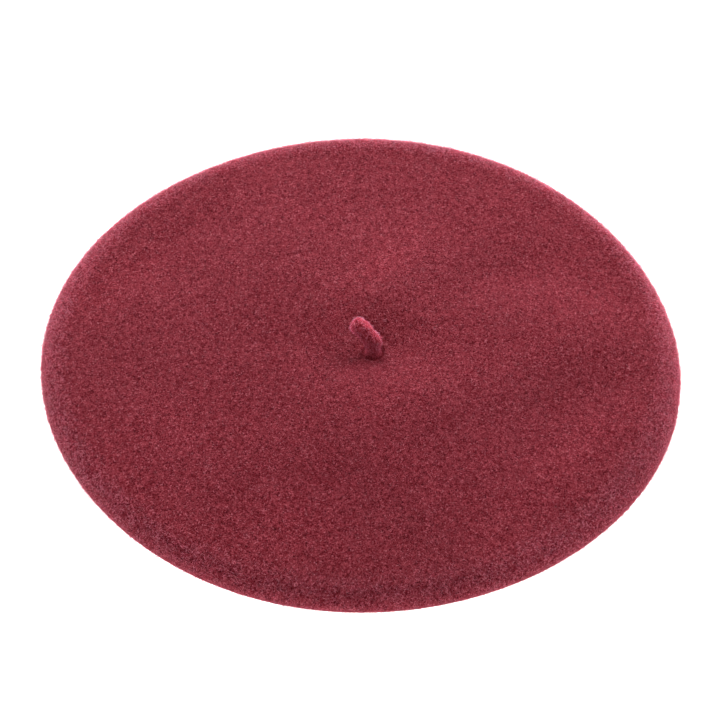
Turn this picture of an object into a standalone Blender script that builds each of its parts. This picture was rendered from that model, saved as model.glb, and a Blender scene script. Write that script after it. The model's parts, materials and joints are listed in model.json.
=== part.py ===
"""A wool-felt beret with a leather sweatband and a satin lining, lying flat with its crown up.

Metres, +Z up. The origin is under the middle of the rim, on the surface that the beret lies on.
The head opening faces down, and the back of the hat, with its bow, is at +Y.
"""

import math

import bpy
from mathutils import Vector
from mathutils.geometry import interpolate_bezier

MM = 0.001

# The felt shell
PLATEAU_RADIUS = 140 * MM
FELT = 2.5 * MM
CROWN_SLOPE = 0.105
CROWN_ROUNDING = 20 * MM
DIMPLE_DEPTH = 5.0 * MM
DIMPLE_SPREAD = 18 * MM
RIM_FOLD = 8.0 * MM
UNDERSIDE_CURVE = 14 * MM
HEM_RADIUS = 90.8 * MM
HEM_TURN = 3.5 * MM
HEM_HEIGHT = 9.0 * MM
EYELET_RADIUS = 3.9 * MM

# Where the eyelet and the stem stand, off the middle of the rim
EYELET_X = 5.5 * MM
EYELET_Y = -3.0 * MM
SHIFT_RADIUS = 80 * MM

# The stem, with its route given from the point that it bends about
STEM_RADIUS = 3.5 * MM
STEM_ROOT_TURNS = (70, 45, 20)
STEM_TIP_LENGTH = 2.2 * MM
STEM_TIP_TURNS = (25, 50, 72)
STEM_BEND_HEIGHT = 3.4 * MM
STEM_ROUTE = [
    (0.0, 0.0, 0.0),
    (-0.1 * MM, 0.1 * MM, 2.0 * MM),
    (-1.6 * MM, 0.9 * MM, 4.9 * MM),
    (-3.9 * MM, 2.3 * MM, 6.8 * MM),
    (-6.4 * MM, 3.8 * MM, 7.8 * MM),
]
TAIL_RADIUS = 6.5 * MM
TAIL_THICKNESS = 1.8 * MM
TAIL_GAP = 0.45 * MM
TACK_RADIUS = 4.2 * MM

# The lining
LINING = 0.4 * MM
LINING_GAP = 0.6 * MM
LINING_SAG = 3.2 * MM
LINING_SAG_SPREAD = 15 * MM
LINING_TIP_RADIUS = 122 * MM
LINING_SIDE_START = 124 * MM
LINING_SIDE_END = 95.5 * MM
TAB_SIZE = (26 * MM, 12 * MM, 0.5 * MM)
TAB_PLACE = (0.0, 60 * MM, 18.6 * MM)
TAB_ROUNDING = 0.15 * MM

# The sweatband
LEATHER = 1.0 * MM
BAND_FOOT_RADIUS = 90.2 * MM
BAND_TOP_RADIUS = 86.0 * MM
BAND_FOOT = 1.6 * MM
BAND_TOP = 16.5 * MM
BAND_JOIN = math.radians(0.3)
STITCH_HEIGHT = 4.5 * MM
TAPE_WIDTH = math.radians(9)
TAPE_FOOT = 7.5 * MM
TAPE_TOP = 15.2 * MM
TAPE = 0.8 * MM
TAPE_STEPS = 3

# The bow, drawn as its right half from the top notch round to the bottom one
RIBBON = 0.9 * MM
BOW_HEIGHT = 11.0 * MM
BOW_OUTLINE = [
    (2.0 * MM, 1.2 * MM),
    (8.4 * MM, 3.3 * MM),
    (9.4 * MM, 0.4 * MM),
    (8.6 * MM, -2.4 * MM),
    (2.2 * MM, -1.0 * MM),
    (7.8 * MM, -4.6 * MM),
    (6.4 * MM, -6.2 * MM),
    (1.0 * MM, -1.7 * MM),
]
KNOT_SIZE = (3.2 * MM, 0.9 * MM, 4.2 * MM)
KNOT_ROUNDING = 0.3 * MM

# Thread, and the gap that neighbours keep
THREAD_RADIUS = 0.3 * MM
GAP = 0.3 * MM
THREAD_SIDES = 4
ROUND_STEPS = 48
SMALL_ROUND_STEPS = 24

# How many rings of faces each run of the shell's profile has, and how they crowd to the eyelet
CROWN_RINGS = 12
CROWN_CROWDING = 1.25
FOLD_RINGS = 4
UNDERSIDE_RINGS = 5
HEM_RINGS = 3
BAND_RINGS = 3

# Colours, and how rough each material is
BURGUNDY = (0.23, 0.032, 0.046)
SATIN = (0.075, 0.012, 0.018)
BROWN_LEATHER = (0.055, 0.022, 0.012)
DARK_THREAD = (0.05, 0.012, 0.015)
RIBBON_RED = (0.10, 0.012, 0.02)
TAB_CREAM = (0.62, 0.58, 0.50)
FELT_ROUGHNESS = 0.95
SATIN_ROUGHNESS = 0.35
LEATHER_ROUGHNESS = 0.5
THREAD_ROUGHNESS = 0.7
WOVEN_ROUGHNESS = 0.8
RIBBON_ROUGHNESS = 0.5


def material(name, colour, roughness):
    """A Principled material of one colour. Nothing on the hat is metal."""
    made = bpy.data.materials.new(name)
    made.use_nodes = True
    shader = made.node_tree.nodes["Principled BSDF"]
    shader.inputs["Base Color"].default_value = (*colour, 1.0)
    shader.inputs["Roughness"].default_value = roughness
    shader.inputs["Metallic"].default_value = 0.0
    return made


def place(made, colour, roughness):
    """Put an object in the hat's collection, with a material of its own."""
    for collection in list(made.users_collection):
        collection.objects.unlink(made)
    bpy.data.collections["beret"].objects.link(made)
    made.data.materials.clear()
    made.data.materials.append(material(made.name, colour, roughness))
    return made


def crown_height(radius):
    """Height of the crown's outer face: a shallow rounded cone that meets the rim's fold, with a dimple."""
    edge_radius, edge_height = fold_start()
    rise = math.hypot(edge_radius, CROWN_ROUNDING) - math.hypot(radius, CROWN_ROUNDING)
    dimple = DIMPLE_DEPTH * math.exp(-((radius / DIMPLE_SPREAD) ** 2))
    return edge_height + CROWN_SLOPE * rise - dimple


def fold_start():
    """Radius and height where the crown meets the rim's fold."""
    slope = math.atan(CROWN_SLOPE)
    radius = PLATEAU_RADIUS - RIM_FOLD + RIM_FOLD * math.sin(slope)
    return radius, RIM_FOLD + RIM_FOLD * math.cos(slope)


def shell_profile():
    """The felt's outer face from the eyelet over the crown and rim to the top of the hem."""
    edge = fold_start()[0]
    slope = math.atan(CROWN_SLOPE)
    points = []
    for i in range(CROWN_RINGS + 1):
        share = (i / CROWN_RINGS) ** CROWN_CROWDING
        radius = EYELET_RADIUS + (edge - EYELET_RADIUS) * share
        points.append((radius, crown_height(radius)))
    for i in range(1, FOLD_RINGS + 1):
        turn = slope + (math.pi / 2 - slope) * i / FOLD_RINGS
        x = PLATEAU_RADIUS - RIM_FOLD + RIM_FOLD * math.sin(turn)
        points.append((x, RIM_FOLD + RIM_FOLD * math.cos(turn)))
    for i in range(1, UNDERSIDE_RINGS + 1):
        turn = math.pi / 2 * i / UNDERSIDE_RINGS
        x = PLATEAU_RADIUS - UNDERSIDE_CURVE * (1 - math.cos(turn))
        points.append((x, RIM_FOLD * (1 - math.sin(turn))))
    for i in range(HEM_RINGS + 1):
        turn = math.pi / 2 * i / HEM_RINGS
        x = HEM_RADIUS + HEM_TURN * (1 - math.sin(turn))
        points.append((x, HEM_TURN * (1 - math.cos(turn))))
    points.append((HEM_RADIUS, HEM_HEIGHT))
    return points


def inner_profile(depth):
    """The shell's profile moved inwards by depth, ending short of the hem."""
    outer = shell_profile()
    points = []
    for i in range(len(outer) - HEM_RINGS - 2):
        before = Vector(outer[max(0, i - 1)])
        after = Vector(outer[i + 1])
        along = (after - before).normalized()
        inward = Vector((along.y, -along.x))
        points.append(tuple(Vector(outer[i]) + inward * depth))
    return points


def height_at(points, radius):
    """Height of a profile's first run at a radius, between its points."""
    for (x0, z0), (x1, z1) in zip(points, points[1:]):
        if x0 <= radius <= x1:
            return z0 + (z1 - z0) * (radius - x0) / (x1 - x0)
    return points[-1][1]


def turned(name, profile, steps, angle=2 * math.pi):
    """A surface turned about Z from a profile that runs down its outer side."""
    mesh = bpy.data.meshes.new(name)
    vertices = [(x, 0.0, z) for x, z in profile]
    mesh.from_pydata(vertices, [(i, i + 1) for i in range(len(vertices) - 1)], [])
    made = bpy.data.objects.new(name, mesh)
    bpy.context.scene.collection.objects.link(made)
    screw = made.modifiers.new("turn", "SCREW")
    screw.axis = "Z"
    screw.angle = angle
    screw.steps = steps
    screw.render_steps = steps
    screw.use_merge_vertices = angle >= 2 * math.pi
    screw.merge_threshold = 0.00001
    screw.use_smooth_shade = True
    return made


def thicken(made, thickness):
    """Give a turned surface its thickness, inwards from the outer face."""
    solidify = made.modifiers.new("thickness", "SOLIDIFY")
    solidify.thickness = thickness
    solidify.offset = -1.0
    solidify.use_even_offset = True
    return made


def made_real(made):
    """The same object with its modifiers applied to its mesh."""
    bpy.context.view_layer.update()
    graph = bpy.context.evaluated_depsgraph_get()
    made.data = bpy.data.meshes.new_from_object(made.evaluated_get(graph))
    made.modifiers.clear()
    return made


def shift_crown(made):
    """Slide the middle of the crown over to where the eyelet is, and leave the rim where it is."""
    for vertex in made.data.vertices:
        radius = math.hypot(vertex.co.x, vertex.co.y)
        hold = max(0.0, 1 - (radius / SHIFT_RADIUS) ** 2) ** 2
        vertex.co.x += EYELET_X * hold
        vertex.co.y += EYELET_Y * hold
    return made


def thread_ring(name, radius, height, thickness=THREAD_RADIUS, steps=ROUND_STEPS):
    """A closed round of thread about Z."""
    bpy.ops.mesh.primitive_torus_add(
        major_radius=radius, minor_radius=thickness, major_segments=steps, minor_segments=THREAD_SIDES
    )
    made = bpy.context.object
    made.name = name
    made.location = (0.0, 0.0, height)
    made.data.shade_smooth()
    return made


def box(name, size, centre, bevel):
    """A small block with its edges rounded."""
    bpy.ops.mesh.primitive_cube_add(size=1.0, location=centre)
    made = bpy.context.object
    made.name = name
    made.scale = size
    bpy.ops.object.transform_apply(location=False, rotation=False, scale=True)
    rounded = made.modifiers.new("rounded", "BEVEL")
    rounded.width = bevel
    rounded.segments = 2
    return made


def eyelet_height():
    """Height of the felt's outer face at the eyelet's edge."""
    return shell_profile()[0][1]


def felt_shell():
    """The knitted and fulled body in one piece: crown, rim, underside and turned-up hem."""
    made = made_real(turned("felt_shell", shell_profile(), ROUND_STEPS))
    return place(thicken(shift_crown(made), FELT), BURGUNDY, FELT_ROUGHNESS)


def smooth_route(corners, steps):
    """Points along one smooth curve through the corners, without the first one."""
    route = []
    knots = [Vector(corner) for corner in corners]
    for i in range(len(knots) - 1):
        before = knots[max(0, i - 1)]
        after = knots[min(len(knots) - 1, i + 2)]
        leave = knots[i] + (knots[i + 1] - before) / 6
        arrive = knots[i + 1] - (after - knots[i]) / 6
        run = interpolate_bezier(knots[i], leave, arrive, knots[i + 1], steps + 1)
        route.extend(run[1:])
    return route


def stem():
    """The curled stem, with a ball at its root that is centred on the point it bends about."""
    route = []
    for degrees in STEM_ROOT_TURNS:
        turn = math.radians(degrees)
        route.append((Vector((0, 0, -STEM_RADIUS * math.sin(turn))), math.cos(turn)))
    route.append((Vector(STEM_ROUTE[0]), 1.0))
    for point in smooth_route(STEM_ROUTE, 2):
        route.append((point, 1.0))
    tip = route[-1][0]
    heading = (tip - route[-2][0]).normalized()
    for degrees in STEM_TIP_TURNS:
        turn = math.radians(degrees)
        route.append((tip + heading * STEM_TIP_LENGTH * math.sin(turn), math.cos(turn)))
    curve = bpy.data.curves.new("stem", "CURVE")
    curve.dimensions = "3D"
    curve.bevel_depth = STEM_RADIUS
    curve.bevel_resolution = 4
    curve.use_fill_caps = True
    spline = curve.splines.new("POLY")
    spline.points.add(len(route) - 1)
    for slot, (point, size) in zip(spline.points, route):
        slot.co = (*point, 1.0)
        slot.radius = size
    made = bpy.data.objects.new("stem", curve)
    bpy.context.scene.collection.objects.link(made)
    made.location = (EYELET_X, EYELET_Y, eyelet_height() + STEM_BEND_HEIGHT)
    return place(made, BURGUNDY, FELT_ROUGHNESS)


def stem_tail():
    """The stem's inner end: a plug in the eyelet that spreads to a flat tab under the crown."""
    felt_inside = eyelet_height() - FELT
    plug_top = eyelet_height() + STEM_BEND_HEIGHT - STEM_RADIUS - TAIL_GAP
    flange_top = felt_inside - GAP
    foot = flange_top - TAIL_THICKNESS
    profile = [
        (0.0, plug_top),
        (STEM_RADIUS, plug_top),
        (STEM_RADIUS, flange_top),
        (TAIL_RADIUS, flange_top),
        (TAIL_RADIUS, foot),
        (0.0, foot),
    ]
    made = turned("stem_tail", profile, SMALL_ROUND_STEPS)
    made.location = (EYELET_X, EYELET_Y, 0.0)
    return place(made, BURGUNDY, FELT_ROUGHNESS)


def stem_tack():
    """The round of thread that tacks the tail down."""
    height = eyelet_height() - FELT - TAIL_THICKNESS - 2 * GAP - THREAD_RADIUS
    made = thread_ring("stem_tack", TACK_RADIUS, height, steps=SMALL_ROUND_STEPS)
    made.location.x = EYELET_X
    made.location.y = EYELET_Y
    return place(made, DARK_THREAD, THREAD_ROUGHNESS)


def lining_profile():
    """The lining's upper face, which hangs clear of the felt and of the stem's tail."""
    points = [(0.0, eyelet_height() - FELT - LINING_GAP)] + inner_profile(FELT + LINING_GAP)
    return [(x, z - LINING_SAG * math.exp(-((x / LINING_SAG_SPREAD) ** 2))) for x, z in points]


def lining_tip():
    """The round satin top of the lining, under the crown."""
    whole = lining_profile()
    profile = []
    for point, following in zip(whole, whole[1:]):
        if point[0] < LINING_TIP_RADIUS and following[0] > point[0]:
            profile.append(point)
    profile.append((LINING_TIP_RADIUS, height_at(whole, LINING_TIP_RADIUS)))
    made = made_real(turned("lining_tip", profile, ROUND_STEPS))
    return place(thicken(shift_crown(made), LINING), SATIN, SATIN_ROUGHNESS)


def lining_side():
    """The side of the lining, round the inside of the rim and back over the underside."""
    whole = lining_profile()
    start = (LINING_SIDE_START, height_at(whole, LINING_SIDE_START))
    widest = max(range(len(whole)), key=lambda i: whole[i][0])
    profile = [start]
    for i, point in enumerate(whole):
        if point[0] > LINING_SIDE_START or i > widest:
            profile.append(point)
    profile.append((LINING_SIDE_END, FELT + LINING_GAP))
    made = turned("lining_side", profile, ROUND_STEPS)
    return place(thicken(made, LINING), SATIN, SATIN_ROUGHNESS)


def lining_seam():
    """The thread that joins the lining's tip to its side."""
    radius = (LINING_TIP_RADIUS + LINING_SIDE_START) / 2
    height = height_at(lining_profile(), radius) - LINING / 2
    return place(thread_ring("lining_seam", radius, height), DARK_THREAD, THREAD_ROUGHNESS)


def size_tab():
    """A blank woven tab, sewn flat to the lining at the back."""
    return place(box("size_tab", TAB_SIZE, TAB_PLACE, TAB_ROUNDING), TAB_CREAM, WOVEN_ROUGHNESS)


def band_radius(height):
    """Radius of the sweatband's outer face, which leans in a little towards the top."""
    share = (height - BAND_FOOT) / (BAND_TOP - BAND_FOOT)
    return BAND_FOOT_RADIUS + (BAND_TOP_RADIUS - BAND_FOOT_RADIUS) * share


def sweatband():
    """The leather strip round the head opening, with its two ends meeting at the back."""
    profile = []
    for i in range(BAND_RINGS + 1):
        height = BAND_TOP + (BAND_FOOT - BAND_TOP) * i / BAND_RINGS
        profile.append((band_radius(height), height))
    made = turned("sweatband", profile, ROUND_STEPS, 2 * math.pi - BAND_JOIN)
    made.rotation_euler.z = math.pi / 2 + BAND_JOIN / 2
    return place(thicken(made, LEATHER), BROWN_LEATHER, LEATHER_ROUGHNESS)


def sweatband_stitch():
    """The line of thread along the sweatband's foot, on the side that faces the head."""
    flat = math.cos(math.pi / ROUND_STEPS)
    face = (band_radius(STITCH_HEIGHT) - LEATHER) * flat
    radius = face - GAP - THREAD_RADIUS
    return place(thread_ring("sweatband_stitch", radius, STITCH_HEIGHT), DARK_THREAD, THREAD_ROUGHNESS)


def sweatband_seam_tape():
    """The tape behind the join of the sweatband, on the side away from the head."""
    out = GAP + TAPE
    profile = [(band_radius(TAPE_TOP) + out, TAPE_TOP), (band_radius(TAPE_FOOT) + out, TAPE_FOOT)]
    made = turned("sweatband_seam_tape", profile, TAPE_STEPS, TAPE_WIDTH)
    made.rotation_euler.z = math.pi / 2 - TAPE_WIDTH / 2
    return place(thicken(made, TAPE), DARK_THREAD, WOVEN_ROUGHNESS)


def bow_back():
    """Distance from the middle of the hat to the back face of the bow, whose top is nearest to the band."""
    widest = max(x for x, z in BOW_OUTLINE)
    top = BOW_HEIGHT + max(z for x, z in BOW_OUTLINE)
    face = (band_radius(top) - LEATHER) * math.cos(math.pi / ROUND_STEPS)
    return math.sqrt(face**2 - widest**2) - GAP


def back_bow():
    """The flat ribbon bow at the back of the sweatband: two loops and two tails."""
    curve = bpy.data.curves.new("back_bow", "CURVE")
    curve.dimensions = "2D"
    curve.fill_mode = "BOTH"
    curve.extrude = RIBBON / 2
    outline = BOW_OUTLINE + [(-x, z) for x, z in reversed(BOW_OUTLINE)]
    spline = curve.splines.new("POLY")
    spline.points.add(len(outline) - 1)
    for slot, (x, z) in zip(spline.points, outline):
        slot.co = (x, z, 0.0, 1.0)
    spline.use_cyclic_u = True
    made = bpy.data.objects.new("back_bow", curve)
    bpy.context.scene.collection.objects.link(made)
    made.rotation_euler.x = math.pi / 2
    made.location = (0.0, bow_back() - RIBBON / 2, BOW_HEIGHT)
    return place(made, RIBBON_RED, RIBBON_ROUGHNESS)


def bow_knot():
    """The loop of ribbon round the middle of the bow."""
    front = bow_back() - RIBBON - GAP
    centre = (0.0, front - KNOT_SIZE[1] / 2, BOW_HEIGHT)
    made = box("bow_knot", KNOT_SIZE, centre, KNOT_ROUNDING)
    return place(made, RIBBON_RED, RIBBON_ROUGHNESS)


def build():
    """Clear the scene and make every piece of the hat."""
    for old in list(bpy.data.objects):
        bpy.data.objects.remove(old, do_unlink=True)
    bpy.context.scene.collection.children.link(bpy.data.collections.new("beret"))
    felt_shell()
    stem()
    stem_tail()
    stem_tack()
    lining_tip()
    lining_side()
    lining_seam()
    size_tab()
    sweatband()
    sweatband_stitch()
    sweatband_seam_tape()
    back_bow()
    bow_knot()


build()
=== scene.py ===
"""The looks of a burgundy wool-felt beret with a curled stem, a satin lining and a leather sweatband.

Metres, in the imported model's frame: +Z up, the hat lies on z = 0 and its back is at +Y.
"""

import json
import math

import bpy
import numpy as np
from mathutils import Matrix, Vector, noise


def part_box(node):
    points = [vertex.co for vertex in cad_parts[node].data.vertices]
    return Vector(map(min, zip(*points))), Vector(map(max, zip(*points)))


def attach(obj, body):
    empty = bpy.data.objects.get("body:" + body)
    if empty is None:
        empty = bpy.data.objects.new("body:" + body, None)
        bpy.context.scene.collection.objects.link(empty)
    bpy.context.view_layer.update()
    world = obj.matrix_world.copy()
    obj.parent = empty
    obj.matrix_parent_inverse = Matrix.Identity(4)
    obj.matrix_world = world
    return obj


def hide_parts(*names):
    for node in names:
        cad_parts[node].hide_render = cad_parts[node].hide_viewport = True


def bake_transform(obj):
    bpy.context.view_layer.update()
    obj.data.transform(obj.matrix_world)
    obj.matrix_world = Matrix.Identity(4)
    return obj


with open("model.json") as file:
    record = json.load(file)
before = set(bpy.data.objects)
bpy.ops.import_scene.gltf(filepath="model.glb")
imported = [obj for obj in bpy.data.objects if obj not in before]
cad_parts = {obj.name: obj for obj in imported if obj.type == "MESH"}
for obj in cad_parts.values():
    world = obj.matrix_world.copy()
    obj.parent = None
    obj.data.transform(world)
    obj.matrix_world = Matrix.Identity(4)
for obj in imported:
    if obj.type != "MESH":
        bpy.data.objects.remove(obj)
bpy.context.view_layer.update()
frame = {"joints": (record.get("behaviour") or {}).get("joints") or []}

MM = 0.001

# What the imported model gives
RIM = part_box("felt_shell")[1].x
PIVOT = Vector(frame["joints"][0]["pos_m"])
EYELET = np.array([PIVOT.x, PIVOT.y])

# The felt's form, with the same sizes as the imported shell
FELT = 2.5 * MM
CROWN_SLOPE = 0.105
CROWN_ROUNDING = 20 * MM
DIMPLE_DEPTH = 5.0 * MM
DIMPLE_SPREAD = 18 * MM
RIM_FOLD = 8.0 * MM
UNDERSIDE_CURVE = 14 * MM
HEM_RADIUS = 90.8 * MM
HEM_TURN = 3.5 * MM
HEM_HEIGHT = 9.0 * MM
EYELET_RADIUS = 3.9 * MM
SHIFT_RADIUS = 80 * MM

# Slow waves of the outline: waves round the rim, their size, and the direction of the first crest
OUTLINE_WAVES = [
    (0, -0.4 * MM, 0),
    (1, 0.36 * MM, -54),
    (2, 0.8 * MM, -95),
    (3, 0.3 * MM, -145),
    (4, 0.6 * MM, -60),
]
OUTLINE_FROM = 100 * MM
OUTLINE_TO = 130 * MM
# Soft hollows and rises of the crown: x, y, heading, length, width and height, in mm and degrees
SWELLS = [
    (-10, 0, -10, 60, 24, -2.0),
    (100, 10, -10, 42, 18, 1.5),
    (20, -40, 30, 42, 18, 2.1),
    (100, -30, 30, 42, 18, -1.9),
    (60, 40, 30, 34, 13, -1.3),
    (70, 60, -30, 42, 18, -1.2),
    (-80, 70, 30, 42, 18, -1.3),
]
# Streaks of painted light and shade, paler or darker on the crown: the same, with a share of paleness in
# place of the height
PAINTED_STREAKS = [
    (-90, -50, 10, 60, 22, 0.15),
    (-30, -100, -30, 20, 20, 0.18),
    (10, 50, 50, 30, 9, 0.19),
    (-110, 40, 30, 40, 16, 0.17),
    (20, -20, -30, 20, 20, 0.15),
    (90, -60, 50, 46, 11, 0.14),
    (70, -30, 30, 46, 11, -0.09),
    (30, -110, -50, 46, 11, -0.09),
    (50, 50, 30, 30, 9, -0.10),
    (-10, -30, -50, 46, 11, 0.09),
    (110, 30, -10, 46, 11, 0.11),
    (-20, 80, -10, 40, 16, 0.07),
    (-80, -96, -40, 45, 15, 0.13),
    (66, -114, 30, 30, 10, 0.12),
]
RIM_HIGHLIGHT = 0.9                 # painted highlight: how much paler the rim's nap is painted from front to back
RIPPLE = 0.28 * MM
RIPPLE_LENGTH = 42 * MM
GROOVE_DEPTH = 2.2 * MM       # the narrow groove round the stem's root
GROOVE_WIDTH = 1.0 * MM
LUMP = 0.08 * MM
LUMP_LENGTH = 4.5 * MM
FELT_SPACING = 1.35 * MM
FELT_STEPS = 480

# The stem, whose route is given from its pivot
STEM_RADIUS = 3.2 * MM
STEM_FOOT = -4.6 * MM
STEM_ROUTE = [
    (0.0, 0.0, 0.0),
    (-0.1 * MM, 0.1 * MM, 2.0 * MM),
    (-2.3 * MM, 0.8 * MM, 4.7 * MM),
    (-4.2 * MM, 2.3 * MM, 6.7 * MM),
    (-6.5 * MM, 3.8 * MM, 7.6 * MM),
]
STEM_TIP = 2.7 * MM
STEM_PLUMP = 0.2 * MM
STEM_LIT_SIDE = np.array([0.5, 0.5, 0.7])
STEM_HIGHLIGHT = 2.0                  # painted highlight: how much paler its tip and its side towards the lights are painted
STEM_HIGHLIGHT_SPREAD = 4.2 * MM

# The stem's inner end: a felt tab tacked under the crown
TAIL_RADIUS = 6.3 * MM
TAIL_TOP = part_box("stem_tail")[1].z
TAIL_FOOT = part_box("stem_tail")[0].z
TAIL_FLANGE = 1.8 * MM
TACKS = 9

# The lining, measured from the felt's outer face in
LINING = 0.4 * MM
LINING_DEPTH = FELT + 0.6 * MM
LINING_SAG = 3.2 * MM
LINING_SAG_SPREAD = 15 * MM
TIP_EDGE = 122.7 * MM
SIDE_START = 123.3 * MM
SIDE_END = 95.5 * MM
TIP_STEPS = 420
SIDE_STEPS = 720
SEAM_STITCHES = 340
PUCKER = 1.5 * MM
DRAG = 2.2 * MM
SLACK = 1.8 * MM
CREASE = 1.5 * MM
GATHER = 1.1 * MM
SWELL = 0.9 * MM
TAB_FLAT = (26 * MM, 12 * MM)
TAB_BACK = 60 * MM            # how far back from the middle the tab is sewn
TAB_THICKNESS = 0.5 * MM

# The sweatband and what is sewn to it
LEATHER = 1.0 * MM
BAND_FOOT_RADIUS = 90.2 * MM
BAND_TOP_RADIUS = 86.0 * MM
BAND_FOOT = 1.6 * MM
BAND_TOP = 16.5 * MM
BAND_JOIN = math.radians(0.3)
BAND_STEPS = 540
BAND_STITCHES = 170
BAND_STITCH_HEIGHT = 4.5 * MM
TAPE_WIDTH = math.radians(9)
TAPE_FOOT = 7.5 * MM
TAPE_TOP = 15.2 * MM
BOW_MIDDLE = (83.6 * MM, 11.0 * MM)
RIBBON = 0.35 * MM

# The nap: how many fibres each part of the felt carries, and their length, width, lift and curl
CROWN_NAP = (70000, 1.5 * MM, 0.10 * MM, 0.14, 3.8)
RIM_NAP = (60000, 1.6 * MM, 0.036 * MM, 0.75, 2.4)
STRAY_NAP = (14000, 2.3 * MM, 0.032 * MM, 1.25, 2.0)
UNDER_NAP = (12000, 1.6 * MM, 0.10 * MM, 0.10, 3.2)
STEM_NAP = (2200, 1.2 * MM, 0.042 * MM, 0.8, 2.4)
FIBRE_POINTS = 5
FIBRE_SIDES = 3
FIBRES_PER_PIECE = 10000
LOWEST_FIBRE = -0.3 * MM      # fibres under the rim lie flat on the surface that the hat rests on

# Colours, as stops of a ramp: place and colour
FELT_COLOURS = [(0.39, (0.026, 0.0008, 0.0022)), (0.5, (0.158, 0.0064, 0.0126)), (0.62, (0.4, 0.074, 0.099))]
STEM_COLOURS = [(0.38, (0.036, 0.001, 0.0026)), (0.5, (0.16, 0.007, 0.0125)), (0.62, (0.4, 0.055, 0.08))]
NAP_COLOURS = [(0.08, (0.02, 0.0005, 0.0014)), (0.45, (0.143, 0.0042, 0.0096)), (0.95, (0.6, 0.17, 0.216))]
# Paler than the crown's nap: painted highlight for the glow of fuzz lit from behind round the rim
FUZZ_COLOURS = [(0.0, (0.29, 0.022, 0.041)), (0.5, (0.69, 0.122, 0.18)), (1.0, (0.97, 0.3, 0.4))]
STRAY_COLOURS = [(0.0, (0.15, 0.022, 0.034)), (1.0, (0.46, 0.15, 0.19))]
# Paler than the stem's felt: painted highlight for the glow of its fuzz lit from behind
STEM_FUZZ_COLOURS = [(0.0, (0.1, 0.006, 0.011)), (0.5, (0.41, 0.056, 0.094)), (1.0, (0.68, 0.2, 0.28))]
SATIN_COLOURS = [(0.25, (0.07, 0.0024, 0.0052)), (0.7, (0.135, 0.007, 0.013))]
LEATHER_COLOURS = [(0.32, (0.034, 0.011, 0.005)), (0.5, (0.07, 0.024, 0.01)), (0.7, (0.125, 0.048, 0.021))]
THREAD_COLOURS = [(0.1, (0.03, 0.005, 0.008)), (0.9, (0.085, 0.016, 0.024))]
TAB_COLOURS = [(0.05, (0.28, 0.25, 0.19)), (0.65, (0.54, 0.5, 0.42))]
TAPE_COLOURS = [(0.05, (0.02, 0.006, 0.008)), (0.65, (0.075, 0.022, 0.028))]
RIBBON_COLOURS = [(0.1, (0.052, 0.005, 0.009)), (0.85, (0.155, 0.02, 0.032))]
FUZZ_TINT = (1, 0.17, 0.265)

# The table, the white surroundings, the soft lights (name, azimuth and elevation in degrees, width in
# metres, power in watts) and the camera
WHITE = (1.0, 1.0, 1.0, 1.0)
TABLE_HALF = 8.0
TABLE_DROP = 0.4 * MM
TABLE_COLOUR = (0.62, 0.62, 0.62, 1.0)
TABLE_GLOW = 1.9
WORLD_STRENGTH = 0.325
LIGHTS = [
    ("back_right", 38, 27, 1.8, 35),
    ("back_left", 114, 27, 1.8, 35),
    ("front_fill", -112, 12, 1.6, 13),
]
LIGHT_DISTANCE = 1.7
CAMERA_LENS = 285.38
CAMERA_SENSOR = 36.0
CAMERA_DISTANCE = 2.5
CAMERA_ELEVATION = 46.6
CAMERA_AIM = Vector((-0.22, 0.63, 12.6)) * MM

DOWN = np.array([0.0, 0.0, -1.0])
rng = np.random.default_rng(20)


# ---------------- mesh helpers


def smooth_step(low, high, value):
    """0 below low, 1 above high, and a smooth rise between."""
    share = np.clip((value - low) / (high - low), 0.0, 1.0)
    return share * share * (3 - 2 * share)


def unit(vectors):
    """The vectors at a length of 1."""
    return vectors / np.maximum(np.linalg.norm(vectors, axis=-1, keepdims=True), 1e-12)


def round_angles(count):
    """That many directions evenly round a circle."""
    return np.arange(count) * 2 * math.pi / count


def polar(angle, radius):
    """X and Y at a direction and a distance from Z."""
    return np.cos(angle) * radius, np.sin(angle) * radius


def xyz(x, y, z):
    """Points from their coordinates, each an array or a single number."""
    return np.stack(np.broadcast_arrays(x, y, z), axis=-1)


def placed(name, data):
    """A new object in the scene."""
    made = bpy.data.objects.new(name, data)
    bpy.context.scene.collection.objects.link(made)
    return made


def build(name, points, quads, triangles=()):
    """A smooth-shaded object from points and its four- and three-cornered faces, turned to face out."""
    points = np.asarray(points, np.float32).reshape(-1, 3)
    quads = np.asarray(quads, np.int32).reshape(-1, 4)
    triangles = np.asarray(triangles, np.int32).reshape(-1, 3)
    halves = np.concatenate([quads[:, [0, 1, 2]], quads[:, [0, 2, 3]], triangles])
    a, b, c = (points[halves[:, i]].astype(float) for i in range(3))
    if np.einsum("ij,ij->", a, np.cross(b, c)) < 0:
        quads, triangles = quads[:, ::-1], triangles[:, ::-1]
    corners = np.concatenate([quads.ravel(), triangles.ravel()])
    starts = np.concatenate([np.arange(len(quads)) * 4, len(quads) * 4 + np.arange(len(triangles)) * 3])
    mesh = bpy.data.meshes.new(name)
    mesh.vertices.add(len(points))
    mesh.vertices.foreach_set("co", points.ravel())
    mesh.loops.add(len(corners))
    mesh.loops.foreach_set("vertex_index", corners)
    mesh.polygons.add(len(starts))
    mesh.polygons.foreach_set("loop_start", starts.astype(np.int32))
    mesh.update(calc_edges=True)
    mesh.validate()
    mesh.shade_smooth()
    return placed(name, mesh)


def grid_quads(rows, columns, round_rows=False, round_columns=False, first=0):
    """The faces of a grid of points, which may close on itself either way."""
    i = np.arange(rows if round_rows else rows - 1)[:, None]
    j = np.arange(columns if round_columns else columns - 1)[None, :]
    next_i = (i + 1) % rows
    next_j = (j + 1) % columns
    corners = [i * columns + j, i * columns + next_j, next_i * columns + next_j, next_i * columns + j]
    return first + np.stack(corners, axis=-1).reshape(-1, 4)


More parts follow.
